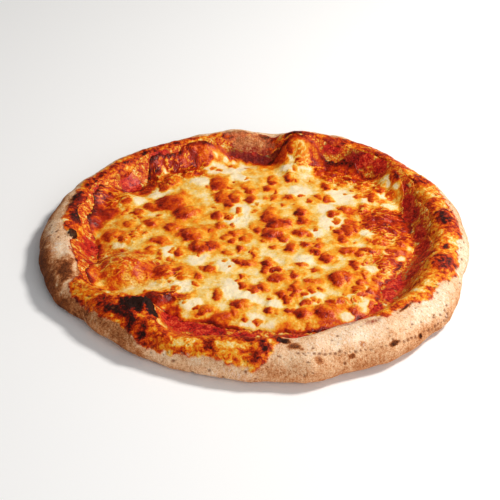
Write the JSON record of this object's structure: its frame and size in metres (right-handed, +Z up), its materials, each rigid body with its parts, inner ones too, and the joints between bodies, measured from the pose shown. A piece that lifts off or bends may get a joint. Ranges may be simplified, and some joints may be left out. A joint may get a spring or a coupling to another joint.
{
  "type": "cheese pizza",
  "caption": "Whole baked cheese pizza with a puffy hand-stretched rim, tomato sauce and a sheet of melted, browned cheese.",
  "frame": {"origin": "middle of the box's bottom face, on the surface that the pizza rests on", "axes": "+Z up, the shortest way through the pizza; -Y towards the picture's viewer, +X to the viewer's right"},
  "size_m": [0.3196, 0.3252, 0.0308],
  "materials": {
    "dough": "dry baked crust, floury and pale with toasted brown patches",
    "tomato_sauce": "moist cooked tomato, glossy where it pools",
    "melted_cheese": "melted cheese with an oily sheen, cream to golden, with browned blisters"
  },
  "bodies": {
    "root": {"dough": "dough", "tomato_sauce": "tomato_sauce", "melted_cheese": "melted_cheese"}
  },
  "joints": []
}
